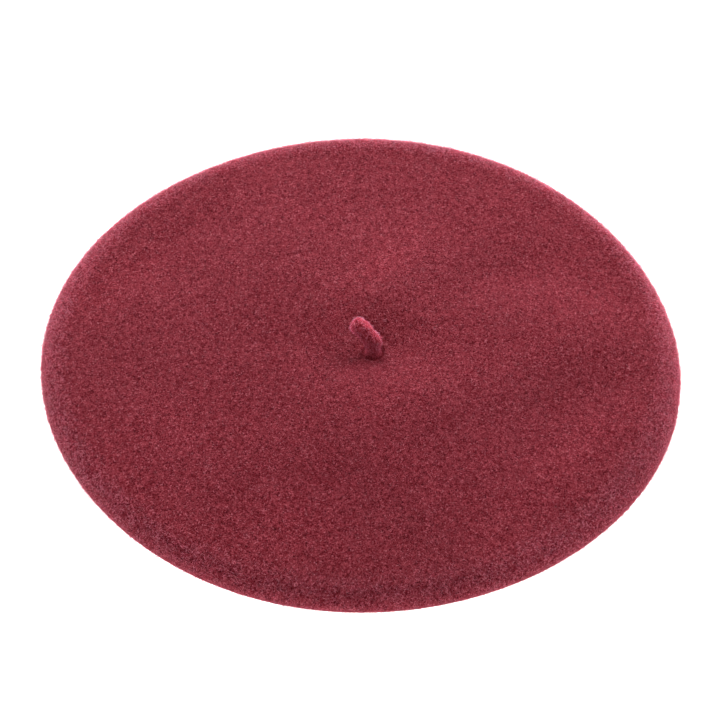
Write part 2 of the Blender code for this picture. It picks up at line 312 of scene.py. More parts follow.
def fan(hub, ring, turned_over=False):
    """The triangles between a hub and a closed ring of points."""
    corners = [np.full(len(ring), hub), ring, np.roll(ring, -1)]
    if turned_over:
        corners = corners[::-1]
    return np.stack(corners, axis=1)


def hub_fans(rows, columns):
    """The triangles that close a turned grid at both ends of its rows, each with a hub of its own."""
    ring = np.arange(rows) * columns
    return np.concatenate([fan(rows * columns, ring), fan(rows * columns + 1, ring + columns - 1, True)])


def grid_normals(grid, round_rows=False):
    """Unit normals of a grid of points, out of the face whose columns run to the right of its rows."""
    if round_rows:
        down = np.roll(grid, -1, axis=0) - np.roll(grid, 1, axis=0)
    else:
        down = np.gradient(grid, axis=0)
    return unit(np.cross(np.gradient(grid, axis=1), down))


def spindles(name, lines, widths, sides, tones, painted_shading=1.0):
    """Many closed threads in one object. A line's two ends are its tips, and each point between them
    is the middle of a ring. Each thread keeps a tone of its own and a share of painted light and shade for
    its colour."""
    count, stations = lines.shape[:2]
    rings = stations - 2
    along = unit(lines[:, 2:] - lines[:, :-2])
    reach = lines[:, -1] - lines[:, 0]
    upright = np.abs(reach[:, 2]) > 0.7 * np.linalg.norm(reach, axis=1)
    helper = np.where(upright[:, None, None], [[[1.0, 0.0, 0.0]]], [[[0.0, 0.0, 1.0]]])
    side = unit(np.cross(along, helper))
    rise = np.cross(side, along)
    turn = round_angles(sides)
    spokes = side[:, :, None] * np.cos(turn)[:, None] + rise[:, :, None] * np.sin(turn)[:, None]
    ring_points = lines[:, 1:-1, None] + spokes * widths[:, :, None, None]
    size = rings * sides + 2
    points = np.concatenate([lines[:, :1], ring_points.reshape(count, -1, 3), lines[:, -1:]], axis=1)
    ring = np.arange(1, sides + 1)
    caps = np.concatenate([fan(0, ring, True), fan(size - 1, ring + (rings - 1) * sides)])
    offsets = (np.arange(count) * size)[:, None, None]
    triangles = (caps[None] + offsets).reshape(-1, 3)
    quads = (grid_quads(rings, sides, False, True, 1)[None] + offsets).reshape(-1, 4)
    made = build(name, points, quads, triangles)
    keep(made, "tone", np.repeat(tones, size))
    keep(made, "brushed", np.repeat(painted_shading * np.ones(count), size))
    return made


def noise_at(points, length, seed, octaves=2):
    """Smooth noise of about -1 to 1 at an array of points, with features of that length."""
    shift = Vector((seed * 7.13, seed * 3.71, seed * 5.37))
    flat = points.reshape(-1, 3) / length
    values = [noise.fractal(Vector(p) + shift, 1.0, 2.0, octaves) for p in flat]
    return np.array(values).reshape(points.shape[:-1])


# ---------------- the felt's form


def fold_start():
    """Radius and height where the crown meets the rim's fold."""
    slope = math.atan(CROWN_SLOPE)
    return RIM - RIM_FOLD + RIM_FOLD * math.sin(slope), RIM_FOLD + RIM_FOLD * math.cos(slope)


def crown_height(radius):
    """Height of the crown's outer face: a shallow rounded cone that meets the rim's fold, with a dimple."""
    edge_radius, edge_height = fold_start()
    rise = math.hypot(edge_radius, CROWN_ROUNDING) - np.hypot(radius, CROWN_ROUNDING)
    return edge_height + CROWN_SLOPE * rise - DIMPLE_DEPTH * np.exp(-((radius / DIMPLE_SPREAD) ** 2))


def evenly(points, spacing):
    """A line's points again, that far apart along it."""
    steps = np.linalg.norm(np.diff(points, axis=0), axis=1)
    distance = np.concatenate([[0.0], np.cumsum(steps)])
    wanted = np.linspace(0, distance[-1], int(round(distance[-1] / spacing)) + 1)
    return np.stack([np.interp(wanted, distance, points[:, k]) for k in range(points.shape[1])], axis=1)


def arc(middle, size, first, last, count):
    """Points of radius and height along an ellipse, between two angles from straight up."""
    turn = np.linspace(first, last, count)
    return np.array(middle) + np.stack([size[0] * np.sin(turn), size[1] * np.cos(turn)], axis=1)


def outer_profile(spacing):
    """The felt's outer face from the eyelet over the crown and rim to the top of the hem."""
    right = math.pi / 2
    radius = np.linspace(EYELET_RADIUS, fold_start()[0], 200)
    crown = np.stack([radius, crown_height(radius)], axis=1)
    fold = arc((RIM - RIM_FOLD, RIM_FOLD), (RIM_FOLD, RIM_FOLD), math.atan(CROWN_SLOPE), right, 40)[1:]
    under = arc((RIM - UNDERSIDE_CURVE, RIM_FOLD), (UNDERSIDE_CURVE, RIM_FOLD), right, 2 * right, 40)[1:]
    hem = arc((HEM_RADIUS + HEM_TURN, HEM_TURN), (HEM_TURN, HEM_TURN), 2 * right, 3 * right, 12)
    top = np.array([[HEM_RADIUS, HEM_HEIGHT]])
    return evenly(np.concatenate([crown, fold, under, hem, top]), spacing)


def offset_profile(profile, depth):
    """A profile moved in from the felt's outer face."""
    along = unit(np.gradient(profile, axis=0))
    return profile + np.stack([along[:, 1], -along[:, 0]], axis=1) * depth


def soft_sum(marks, points):
    """The sum of soft-edged oval marks at points, seen from above."""
    total = np.zeros(points.shape[:-1])
    for place_x, place_y, heading, length, width, amount in marks:
        turn = math.radians(heading)
        off_x, off_y = points[..., 0] / MM - place_x, points[..., 1] / MM - place_y
        ahead = (off_x * math.cos(turn) + off_y * math.sin(turn)) / length
        aside = (off_y * math.cos(turn) - off_x * math.sin(turn)) / width
        total += amount * np.exp(-(ahead**2) - aside**2)
    return total


def brushed(points):
    """How much lighter or darker the felt's outside is painted at points: streaks of painted light and
    shade on the crown, and a painted highlight that leaves the back of the rim paler."""
    # painted light and shade: the crown's streaks
    streaks = soft_sum(PAINTED_STREAKS, points) * smooth_step(8 * MM, 14 * MM, points[..., 2])
    radius = np.hypot(points[..., 0], points[..., 1])
    # painted highlight round the rim, strongest at the back where the lights are
    rim_highlight = smooth_step(126 * MM, 139 * MM, radius) * smooth_step(5 * MM, 12 * MM, points[..., 2])
    back = smooth_step(-0.5 * RIM, 0.8 * RIM, points[..., 1]) - 0.12
    return 1 + streaks + RIM_HIGHLIGHT * rim_highlight * back


def keep(made, label, values):
    """Keep one value for each point of a mesh."""
    kept = made.data.attributes.new(label, "FLOAT", "POINT")
    kept.data.foreach_set("value", np.asarray(values, np.float32).ravel())


def settled(points):
    """Turned points moved as the hat has settled: the crown shifted to the eyelet, the outline's slow
    waves, and the crown's soft rises, which fade out towards the underside."""
    x, y, z = points[..., 0], points[..., 1], points[..., 2]
    radius = np.hypot(x, y)
    angle = np.arctan2(y, x)
    hold = np.maximum(0.0, 1 - (radius / SHIFT_RADIUS) ** 2) ** 2
    wave = sum(size * np.cos(count * angle - math.radians(crest)) for count, size, crest in OUTLINE_WAVES)
    grow = 1 + wave * smooth_step(OUTLINE_FROM, OUTLINE_TO, radius) / np.maximum(radius, MM)
    moved = xyz(x * grow + PIVOT.x * hold, y * grow + PIVOT.y * hold, z)
    on_top = smooth_step(3 * MM, 12 * MM, z) * (1 - 0.75 * smooth_step(105 * MM, 132 * MM, radius))
    rise = RIPPLE * noise_at(moved * [1, 1, 0], RIPPLE_LENGTH, 1)
    rise += soft_sum(SWELLS, moved) * MM
    moved[..., 2] += rise * on_top
    return moved


def turned(profile, steps):
    """A profile of radius and height turned about Z, as a grid of steps by points."""
    return xyz(*polar(round_angles(steps)[:, None], profile[:, 0]), profile[:, 1])


def felt_outer():
    """The felt's outer face as a grid, finest near the stem, with the groove round the stem's root
    and the felt's small lumps."""
    profile = outer_profile(FELT_SPACING)
    near = evenly(profile[:8], 0.4 * MM)
    grid = settled(turned(np.concatenate([near, profile[8:]]), FELT_STEPS))
    away = np.hypot(grid[..., 0] - EYELET[0], grid[..., 1] - EYELET[1])
    on_crown = smooth_step(12 * MM, 15 * MM, grid[..., 2])
    groove = GROOVE_DEPTH * np.exp(-(((away - EYELET_RADIUS) / GROOVE_WIDTH) ** 2))
    grid[..., 2] -= groove * on_crown
    normal = grid_normals(grid, True)
    lumps = noise_at(grid, LUMP_LENGTH, 2) * LUMP
    inward = 1 - smooth_step(1 * MM, 8 * MM, grid[..., 2])
    lumps = lumps * (1 - inward) - np.abs(lumps) * inward
    grid += normal * lumps[..., None]
    grid[..., 2] = np.maximum(grid[..., 2], 0.02 * MM)
    return grid


def felt_body(outer):
    """The knitted and fulled body in one piece, as a closed shell."""
    inner_line = evenly(offset_profile(outer_profile(FELT_SPACING), FELT)[::-1], 4.0 * MM)
    top = inner_line[0] + (np.array([HEM_RADIUS, HEM_HEIGHT]) - inner_line[0]) / 2
    hem_edge = np.array([[top[0] - 0.6 * MM, top[1] + 0.8 * MM], [top[0] + 0.6 * MM, top[1] + 0.8 * MM]])
    inner = settled(turned(np.concatenate([hem_edge, inner_line]), FELT_STEPS))
    loop = np.concatenate([outer, inner], axis=1)
    made = build("felt_body", loop, grid_quads(*loop.shape[:2], True, True))
    # the painted light and shade of the felt's outside
    keep(made, "brushed", brushed(loop))
    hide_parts("felt_shell")
    return made


# ---------------- the nap


def scatter(grid, count, weight, round_rows=True):
    """Points spread by area over a grid, and the surface's normals there."""
    rows = grid.shape[0] if round_rows else grid.shape[0] - 1
    below = np.roll(grid, -1, axis=0)[:rows]
    here = grid[:rows]
    a, b, c, d = here[:, :-1], here[:, 1:], below[:, 1:], below[:, :-1]
    normal = np.cross(b - d, c - a)
    area = np.linalg.norm(normal, axis=2)
    middle = (a + b + c + d) / 4
    share = (area * weight(middle)).ravel()
    chosen = rng.choice(len(share), count, p=share / share.sum())
    u, v = rng.random((2, count, 1))
    a, b, c, d, normal = (values.reshape(-1, 3)[chosen] for values in (a, b, c, d, normal))
    points = a * (1 - u) * (1 - v) + b * u * (1 - v) + c * u * v + d * (1 - u) * v
    return points, unit(normal)


def fibres(name, points, normals, kind, painted_shading):
    """Curly fibres rooted in a surface. Lift is how steeply they leave it, and curl how far they turn."""
    length, width, lift, curl = kind
    count = len(points)
    along = unit(np.cross(normals, rng.normal(size=(count, 3))))
    across = np.cross(normals, along)
    length = length * rng.uniform(0.55, 1.3, (count, 1))
    turn = curl * rng.uniform(0.3, 1.0, (count, 1)) * rng.choice([-1, 1], (count, 1))
    steep = lift * rng.uniform(0.2, 1.6, (count, 1))
    lines = np.empty((count, FIBRE_POINTS, 3))
    for k, t in enumerate(np.linspace(0, 1, FIBRE_POINTS)):
        ahead = np.sin(turn * t) / turn
        aside = (1 - np.cos(turn * t)) / turn
        height = steep * t * (1 - 0.35 * t) - 0.06
        lines[:, k] = points + length * (along * ahead + across * aside + normals * height)
    lines[..., 2] = np.maximum(lines[..., 2], LOWEST_FIBRE)
    widths = width * rng.uniform(0.6, 1.3, (count, 1)) * np.array([[0.9, 1.0, 0.8]])
    tones = rng.uniform(0.0, 1.0, count)
    return spindles(name, lines, widths, FIBRE_SIDES, tones, painted_shading)


def felt_nap(outer):
    """The felt's nap, in pieces of a workable size."""
    made = []

    def crown(middle):
        return smooth_step(9 * MM, 14 * MM, middle[..., 2])

    def rim(middle):
        outward = smooth_step(125 * MM, 138 * MM, np.hypot(middle[..., 0], middle[..., 1]))
        upward = smooth_step(1.5 * MM, 6 * MM, middle[..., 2])
        # more of the rim's pale fuzz at the back, which adds to the painted highlight there
        return outward * upward * (1 + 0.6 * middle[..., 1] / RIM)

    def under(middle):
        return 1 - smooth_step(5 * MM, 9 * MM, middle[..., 2])

    regions = [
        ("crown_nap", crown, CROWN_NAP),
        ("rim_nap", rim, RIM_NAP),
        ("stray_nap", rim, STRAY_NAP),
        ("under_nap", under, UNDER_NAP),
    ]
    for name, weight, (count, *kind) in regions:
        points, normals = scatter(outer, count, weight)
        for k, start in enumerate(range(0, count, FIBRES_PER_PIECE)):
            part = slice(start, start + FIBRES_PER_PIECE)
            # each fibre takes the painted light and shade at its root
            painted_shading = brushed(points[part])
            made.append(fibres(f"{name}_{k + 1}", points[part], normals[part], kind, painted_shading))
    return made


# ---------------- the stem


def curve_through(corners, steps):
    """Points along one smooth curve through the corners."""
    knots = np.asarray(corners, float)
    before = np.concatenate([knots[:1], knots[:-2]])
    after = np.concatenate([knots[2:], knots[-1:]])
    route = [knots[:1]]
    for k in range(len(knots) - 1):
        leave = knots[k] + (knots[k + 1] - before[k]) / 6
        arrive = knots[k + 1] - (after[k] - knots[k]) / 6
        t = np.linspace(0, 1, steps + 1)[1:, None]
        run = (1 - t) ** 3 * knots[k] + 3 * (1 - t) ** 2 * t * leave
        run = run + 3 * (1 - t) * t**2 * arrive + t**3 * knots[k + 1]
        route.append(run)
    return np.concatenate(route)


def swept(route, radii, sides):
    """A round tube along a route, as a grid of stations by sides."""
    side = np.array([1.0, 0.0, 0.0])
    grid = np.empty((len(route), sides, 3))
    turn = round_angles(sides)
    for k, (point, heading, radius) in enumerate(zip(route, unit(np.gradient(route, axis=0)), radii)):
        side = unit(side - heading * side.dot(heading))
        rise = np.cross(heading, side)
        grid[k] = point + radius * (np.cos(turn)[:, None] * side + np.sin(turn)[:, None] * rise)
    return grid


def stem_grid():
    """The stem's surface: a root, a curled neck that thickens a little on its way up, and a blunt tip."""
    knots = [(0.0, 0.0, STEM_FOOT)] + STEM_ROUTE
    route = evenly(curve_through(knots, 24), 0.22 * MM)
    heading = unit(route[-1] - route[-2])
    turn = np.linspace(0, math.pi / 2, 12)[1:-1]
    tip = route[-1] + heading * STEM_TIP * np.sin(turn)[:, None]
    plump = smooth_step(-3 * MM, 1 * MM, route[:, 2]) + smooth_step(3 * MM, 7 * MM, route[:, 2])
    radii = STEM_RADIUS + STEM_PLUMP * plump
    radii = np.concatenate([radii, radii[-1] * np.cos(turn) ** 0.55])
    route = np.concatenate([route, tip]) + np.array(PIVOT)
    grid = swept(route, radii, 40)
    middle = grid.mean(axis=1, keepdims=True)
    out = grid - middle
    lumps = noise_at(grid, 3.4 * MM, 5, 2) * 0.16 + noise_at(grid, 1.1 * MM, 6, 2) * 0.06
    return middle + out * (1 + 0.5 * lumps[..., None])


def painted_highlight(points, normals, tip):
    """How much lighter the stem is painted at points of it: a painted highlight on its tip and on its side
    towards the lights.
    """
    # the side that faces up and back, towards the lights, gets the painted highlight
    outer = smooth_step(0.1, 0.9, normals @ STEM_LIT_SIDE)
    end = np.exp(-((np.linalg.norm(points - tip, axis=-1) / STEM_HIGHLIGHT_SPREAD) ** 2))
    above = smooth_step(PIVOT.z - 0.5 * MM, PIVOT.z + 3 * MM, points[..., 2])
    return 1 + STEM_HIGHLIGHT * np.maximum(0.8 * outer, end) * above


def stem(grid):
    """The curled felt stem, which bends where it leaves the crown."""
    rows, sides = grid.shape[:2]
    middle = grid.mean(axis=1)
    heading = middle[-1] - middle[-2]
    points = np.concatenate([grid.reshape(-1, 3), [middle[0], middle[-1] + heading]])
    ring = np.arange(sides)
    ends = [fan(rows * sides, ring, True), fan(rows * sides + 1, ring + (rows - 1) * sides)]
    made = build("curled_stem", points, grid_quads(rows, sides, False, True), np.concatenate(ends))
    out = unit(grid - middle[:, None]).reshape(-1, 3)
    # the stem's painted highlight
    keep(made, "brushed", painted_highlight(points, np.concatenate([out, [-heading, unit(heading)]]), middle[-1]))
    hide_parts("stem")
    return made


def stem_nap(grid):
    """The stem's nap, thickest at its tip."""
    tip = grid[-1].mean(axis=0)
    closed = np.concatenate([grid, grid[:, :1]], axis=1)

    def weight(middle):
        away = np.linalg.norm(middle - tip, axis=-1)
        above = smooth_step(PIVOT.z - 2.5 * MM, PIVOT.z - 1.0 * MM, middle[..., 2])
        return above * (1 + 1.5 * np.exp(-((away / (3 * MM)) ** 2)))

    count, *kind = STEM_NAP
    points, normals = scatter(closed, count, weight, round_rows=False)
    return fibres("stem_nap", points, normals, kind, painted_highlight(points, normals, tip))


def bends(piece):
    """The piece, with its place baked into its mesh."""
    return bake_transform(piece)


# ---------------- cloth, leather and thread


def cloth(name, face, thickness, round_rows=False, hub=False):
    """A closed piece of cloth or leather: a grid of points given its thickness away from the grid's outer
    side, with rounded edges. A hub closes a round piece whose first column runs round its middle. It
    keeps the distances along and across the piece for its weave."""
    back = face - grid_normals(face, round_rows) * thickness
    rows, count = face.shape[:2]

    def edge(outer, inner):
        out = unit(face[:, outer] - face[:, inner])
        return ((face[:, outer] + back[:, outer]) / 2 + out * thickness * 0.4)[:, None]

    first_edge = [] if hub else [edge(0, 1)]
    loop = np.concatenate([*first_edge, face, edge(-1, -2), back[:, ::-1]], axis=1)
    columns = loop.shape[1]
    points = loop.reshape(-1, 3)
    quads = grid_quads(rows, columns, round_rows, not hub)
    triangles = ()
    if hub:
        triangles = hub_fans(rows, columns)
        points = np.concatenate([points, [face[:, 0].mean(axis=0), back[:, 0].mean(axis=0)]])
    elif not round_rows:
        top = np.arange(1, count + 1)
        under = columns - top
        start = np.stack([top[1:], top[:-1], under[:-1], under[1:]], axis=1)
        end = start[:, ::-1] + (rows - 1) * columns
        tips = np.array([[top[0], 0, under[0]], [count + 1, top[-1], under[-1]]])
        quads = np.concatenate([quads, start, end])
        triangles = np.concatenate([tips, tips[:, ::-1] + (rows - 1) * columns])
    made = build(name, points, quads, triangles)
    for axis, label in enumerate(("along", "across")):
        steps = np.linalg.norm(np.diff(face, axis=axis, prepend=face.take([0], axis=axis)), axis=2)
        measure = np.cumsum(steps, axis=axis)
        parts = [measure[:, : len(first_edge)], measure, measure[:, -1:], measure[:, ::-1]]
        values = np.concatenate(parts, axis=1).ravel()
        keep(made, label, np.concatenate([values, np.zeros(len(points) - values.size)]))
    return made


def joined(name, pieces):
    """Several meshes as one object."""
    with bpy.context.temp_override(active_object=pieces[0], selected_editable_objects=pieces):
        bpy.ops.object.join()
    pieces[0].name = name
    return pieces[0]


def stitches(name, middle, along, out, length, rise, radius):
    """A row of separate stitches, each bowed out of the surface with its ends pulled in."""
    share = np.linspace(-1, 1, 9)[:, None]
    bow = np.broadcast_to(out, middle.shape)[:, None] * rise * (1 - 1.7 * share**2)
    lines = middle[:, None] + along[:, None] * share * length / 2 + bow
    widths = np.tile(radius * (1 - share[1:-1, 0] ** 4) ** 0.5, (len(middle), 1))
    return spindles(name, lines, widths, 8, rng.uniform(0, 1, len(middle)))


def round_points(radius, height, count, first=0.0):
    """Points evenly round Z, with the direction along the circle and the one out from Z."""
    angle = first + round_angles(count)
    out = xyz(np.cos(angle), np.sin(angle), 0.0)
    along = xyz(-np.sin(angle), np.cos(angle), 0.0)
    return out * radius + np.array([0, 0, height]), along, out


# ---------------- the stem's inner end


def stem_tail():
    """The stem's inner end: a plug in the eyelet that spreads to a soft-edged tab under the crown."""
    flange = TAIL_FOOT + TAIL_FLANGE
    plug = [(0.6 * MM, TAIL_TOP), (2.6 * MM, TAIL_TOP - 0.2 * MM), (3.4 * MM, TAIL_TOP - 1.0 * MM)]
    neck = [(3.45 * MM, flange + 0.7 * MM), (3.9 * MM, flange + 0.1 * MM)]
    edge = [(5.6 * MM, flange), (6.2 * MM, flange - 0.5 * MM), (TAIL_RADIUS, flange - 0.9 * MM)]
    foot = [(6.1 * MM, TAIL_FOOT + 0.35 * MM), (5.4 * MM, TAIL_FOOT), (0.6 * MM, TAIL_FOOT + 0.1 * MM)]
    line = evenly(np.array(plug + neck + edge + foot), 0.3 * MM)
    grid = turned(line, 64)
    ragged = 1 + 0.10 * noise_at(grid, 3.0 * MM, 8) * smooth_step(3.4 * MM, 5.5 * MM, line[:, 0])
    grid[..., :2] *= ragged[..., None]
    grid[..., :2] += EYELET
    rows, columns = grid.shape[:2]
    points = np.concatenate([grid.reshape(-1, 3), grid[:, [0, -1]].mean(axis=0)])
    made = build("stem_tab", points, grid_quads(rows, columns, True), hub_fans(rows, columns))
    keep(made, "brushed", np.ones(len(points)))
    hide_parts("stem_tail")
    return made


def stem_tack():
    """Long tacking stitches round the tab."""
    middle, along, out = round_points(4.2 * MM, TAIL_FOOT, TACKS, 0.2)
    middle[:, :2] += EYELET
    lean = unit(out * 0.9 + along * 0.45)
    made = stitches("tacking_stitches", middle, lean, DOWN, 3.0 * MM, 0.45 * MM, 0.28 * MM)
    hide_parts("stem_tack")
    return made


# ---------------- the lining


def lining_line(spacing):
    """The lining's upper face, from the middle of the crown round the inside of the rim to the hem."""
    line = offset_profile(outer_profile(spacing), LINING_DEPTH)
    widest = int(np.argmax(line[:, 0]))
    end = widest + int(np.argmax(line[widest:, 0] < SIDE_END))
    line = line[:end]
    line[:, 1] -= LINING_SAG * np.exp(-((line[:, 0] / LINING_SAG_SPREAD) ** 2))
    return line


def round_noise(angle, length, seed, octaves=2):
    """Noise that changes only with the direction round Z, with features of that length at the rim."""
    return noise_at(xyz(np.cos(angle), np.sin(angle), 0.0) * TIP_EDGE, length, seed, octaves)


def lining_tip():
    """The round satin top of the lining, which hangs slack and puckers towards its seam."""
    line = lining_line(1.2 * MM)
    widest = int(np.argmax(line[:, 0]))
    wanted = np.linspace(1.0 * MM, TIP_EDGE, 88)
    height = np.interp(wanted, line[:widest, 0], line[:widest, 1])
    grid = settled(turned(np.stack([wanted, height], axis=1), TIP_STEPS))
    radius = np.hypot(grid[..., 0], grid[..., 1])
    angle = round_angles(TIP_STEPS)
    pucker = (0.5 + 0.6 * round_noise(angle, 8 * MM, 11))[:, None]
    drag = np.maximum(0.0, round_noise(angle, 27 * MM, 12, 1))[:, None]
    relief = PUCKER * np.clip(pucker, 0, 1) * smooth_step(88 * MM, 121 * MM, radius)
    relief += DRAG * drag * smooth_step(40 * MM, 105 * MM, radius)
    relief += SLACK * np.maximum(0.0, noise_at(grid * [1, 1, 0], 24 * MM, 13) + 0.2)
    crease = 1 - np.abs(noise_at(grid * [1, 1, 0], 34 * MM, 14, 1)) * 6
    relief += CREASE * np.clip(crease, 0, 1) ** 2
    place = np.hypot(grid[..., 0] / 1.6, grid[..., 1] - TAB_BACK)
    relief *= smooth_step(9 * MM, 17 * MM, place) * (1 - 0.4 * smooth_step(118 * MM, TIP_EDGE, radius))
    grid[..., 2] -= relief
    made = cloth("lining_top", grid, LINING, True, True)
    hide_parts("lining_tip")
    return made, grid


def lining_side():
    """The gathered side of the lining, round inside the rim and back to the head opening."""
    line = lining_line(0.9 * MM)
    widest = int(np.argmax(line[:, 0]))
    first = int(np.argmax(line[:widest, 0] > SIDE_START))
    line = evenly(line[first:], 1.25 * MM)
    grid = settled(turned(line, SIDE_STEPS))
    share = np.linspace(0, 1, grid.shape[1])
    drift = round_angles(SIDE_STEPS)[:, None] + 0.035 * np.sin(share * 5)[None, :]
    gather = np.clip(0.5 + 0.7 * round_noise(drift, 6.5 * MM, 15), 0, 1)
    swell = np.clip(0.4 + 0.6 * round_noise(drift, 30 * MM, 16), 0, 1)
    middle = 0.25 + 0.75 * np.sin(math.pi * share) ** 0.7
    fade = 1 - smooth_step(0.93, 1.0, share) * 0.8
    relief = (GATHER * gather + SWELL * swell) * (middle * fade)[None, :]
    grid = grid - grid_normals(grid, True) * relief[..., None]
    made = cloth("sewn_lining_side", grid, LINING, True)
    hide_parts("lining_side")
    return made


def lining_seam(tip):
    """The stitches that join the lining's top to its side."""
    middle, along, out = round_points(TIP_EDGE + 0.3 * MM, 0.0, SEAM_STITCHES)
    edge = tip[:, -1]
    turn, where = (np.arctan2(line[:, 1], line[:, 0]) for line in (edge, middle))
    middle[:, 2] = np.interp(where, turn, edge[:, 2], period=2 * math.pi) - LINING - 0.05 * MM
    lean = along * 0.88 + out * 0.47
    made = stitches("lining_stitches", middle, lean, DOWN, 2.1 * MM, 0.18 * MM, 0.2 * MM)
    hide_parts("lining_seam")
    return made


def size_tab(tip):
    """A blank woven tab, sewn flat to the lining's underside."""
    below = tip.reshape(-1, 3) - [0, 0, LINING]
    near = below[np.hypot(below[:, 0], below[:, 1] - TAB_BACK) < 15 * MM]

    def terms(x, y):
        x, y = x / MM, (y - TAB_BACK) / MM
        return np.stack([np.ones_like(x), x, y, x * x, x * y, y * y], axis=-1)

    fit = np.linalg.lstsq(terms(near[:, 0], near[:, 1]), near[:, 2], rcond=None)[0]
    half_x, half_y = TAB_FLAT[0] / 2, TAB_FLAT[1] / 2
    x, y = np.meshgrid(np.linspace(-half_x, half_x, 53), np.linspace(-half_y, half_y, 25), indexing="ij")
    y += TAB_BACK
    z = terms(x, y) @ fit - 0.15 * MM
    free = smooth_step(0.80, 1.0, np.abs(x) / half_x)
    z -= 0.25 * MM * free * (0.6 + 0.4 * noise_at(xyz(x, y, z), 5 * MM, 17))
    made = cloth("woven_tab", xyz(x, y, z)[:, ::-1], TAB_THICKNESS)
    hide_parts("size_tab")
    return made


# ---------------- the sweatband and the bow


def band_radius(height):
    """Radius of the sweatband's outer face, which leans in a little towards the top."""
    share = (height - BAND_FOOT) / (BAND_TOP - BAND_FOOT)
    return BAND_FOOT_RADIUS + (BAND_TOP_RADIUS - BAND_FOOT_RADIUS) * share


def band_wave(angle, height):
    """How far the sweatband's free edge waves in, except at the back where it is joined."""
    share = np.clip((height - BAND_FOOT) / (BAND_TOP - BAND_FOOT), 0, 1)
    slow = np.clip(0.45 + 0.6 * round_noise(angle, 46 * MM, 18), 0, 1)
    quick = 0.5 + 0.5 * round_noise(angle, 14 * MM, 19)
    turn = np.abs((angle - math.pi / 2 + math.pi) % (2 * math.pi) - math.pi)
    hold = smooth_step(math.radians(7), math.radians(16), turn)
    return (1.3 * MM * slow + 0.25 * MM * quick) * hold * share**2


def band_face(angle, height):
    """Points of the sweatband's outer face."""
    return xyz(*polar(angle, band_radius(height) - band_wave(angle, height)), height)


def sweatband():
    """The leather strip round the head opening, which ends in a butt join at the back."""
    start = math.pi / 2 + BAND_JOIN / 2
    angle = np.linspace(start, start + 2 * math.pi - BAND_JOIN, BAND_STEPS)[:, None]
    height = np.linspace(BAND_TOP, BAND_FOOT, 22)[None, :]
    face = band_face(angle, height)
    crease = np.exp(-(((height - (BAND_TOP - 2.2 * MM)) / (0.5 * MM)) ** 2)) * 0.14 * MM
    pull = np.exp(-(((height - BAND_STITCH_HEIGHT) / (0.8 * MM)) ** 2)) * 0.16 * MM
    dents = noise_at(face, 3.5 * MM, 20) * 0.10 * MM
    face += grid_normals(face) * (crease + pull + dents)[..., None]
    made = cloth("leather_sweatband", face, LEATHER)
    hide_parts("sweatband")
    return made


def band_stitches():
    """The row of stitches along the sweatband's foot, on the side that faces the head."""
    inner = band_radius(BAND_STITCH_HEIGHT) - LEATHER + 0.12 * MM
    middle, along, out = round_points(inner, BAND_STITCH_HEIGHT, BAND_STITCHES, math.pi / 2 + 0.018)
    lean = along + [0, 0, 0.10]
    made = stitches("sweatband_stitches", middle, lean, -out, 2.5 * MM, 0.30 * MM, 0.24 * MM)
    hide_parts("sweatband_stitch")
    return made


def seam_tape():
    """The woven tape behind the sweatband's join."""
    spread = np.linspace(-0.5, 0.5, 60)[:, None]
    face = band_face(math.pi / 2 + TAPE_WIDTH * spread, np.linspace(TAPE_TOP, TAPE_FOOT, 32)[None, :])
    frayed = noise_at(face, 1.4 * MM, 21) * 0.25 * MM * smooth_step(0.42, 0.5, np.abs(spread))
    away = 0.85 * MM + 0.10 * MM * noise_at(face, 3 * MM, 22)
    face += grid_normals(face) * away[..., None]
    face[..., 0] += frayed
    made = cloth("join_tape", face, 0.6 * MM)
    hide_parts("sweatband_seam_tape")
    return made


def strip(name, middle, wide, widths, slant=0.0):
    """A strip of ribbon along a line of points, which is that wide in that direction at each of them."""
    across = np.linspace(-0.5, 0.5, 11)
    along = unit(np.gradient(middle, axis=0))
    cup = (1 - 4 * across**2) * 0.05
    face = middle[:, None] + wide[:, None] * (across * widths[:, None])[..., None]
    face += np.cross(along, wide)[:, None] * (cup * widths[:, None])[..., None]
    end = smooth_step(0.7, 1.0, np.linspace(0, 1, len(middle)))
    face += along[:, None] * (end[:, None] * slant * across)[..., None]
    return cloth(name, face, RIBBON)


def bow():
    """A flat bow of narrow ribbon: two loops and two tails, pinched in the middle."""
    back, high = BOW_MIDDLE
    pieces = []
    for side, size in ((1, 1.0), (-1, 0.95)):
        t = np.linspace(0.02, 0.98, 64)
        bulge = np.sin(math.pi * t)
        x = side * (0.5 * MM + 8.2 * MM * size * bulge**0.85)
        y = back + 0.9 * MM * np.cos(math.pi * t) * bulge**0.6
        z = high + 0.10 * np.abs(x) + 0.2 * MM * np.cos(math.pi * t)
        wide = unit(np.tile([0.09 * side, 0.0, 1.0], (64, 1)))
        widths = 1.9 * MM + 3.3 * MM * size * bulge**0.8
        pieces.append(strip(f"loop{side}", xyz(x, y, z), wide, widths))
        t = np.linspace(0, 1, 30)
        x = side * (0.4 * MM + 6.9 * MM * size * t)
        y = back + 0.55 * MM * t + 0.25 * MM * np.sin(t * 7)
        z = high - 0.6 * MM - 4.6 * MM * size * t - 0.3 * MM * np.sin(math.pi * t)
        wide = np.tile([0.56 * side, 0.0, 0.83], (30, 1))
        widths = 1.7 * MM + 1.9 * MM * smooth_step(0, 0.6, t)
        pieces.append(strip(f"tail{side}", xyz(x, y, z), wide, widths, -1.8 * MM))
    made = joined("ribbon_bow", pieces)
    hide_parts("back_bow")
    return made


